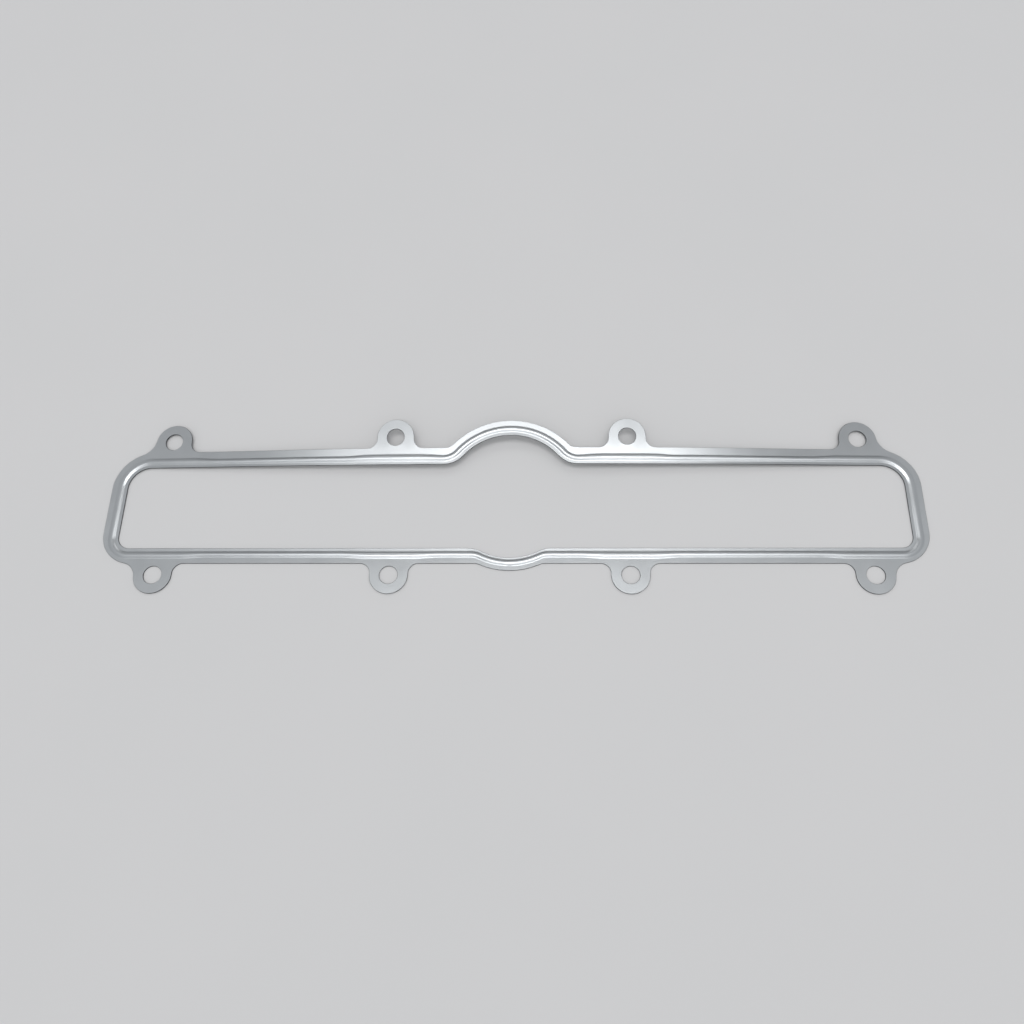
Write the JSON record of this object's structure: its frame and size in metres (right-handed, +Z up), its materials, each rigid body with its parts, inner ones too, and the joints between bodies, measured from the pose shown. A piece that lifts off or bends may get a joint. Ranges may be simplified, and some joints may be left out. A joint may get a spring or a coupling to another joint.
{
  "type": "intake manifold gasket",
  "caption": "Long embossed steel gasket for an intake manifold flange, with bolt lugs, a round inlet bulge and a raised sealing bead, lying slightly bowed.",
  "frame": {"origin": "centre of the four corner bolt holes, on the surface that the gasket lies on", "axes": "+X along the length, +Y towards the larger inlet arch, +Z up out of the surface, the way the bead stands"},
  "size_m": [0.4092, 0.0906, 0.0073],
  "materials": {
    "coated_steel": "smooth satin metallic coating on thin sheet steel"
  },
  "bodies": {
    "root": {"gasket": "coated_steel"}
  },
  "joints": []
}
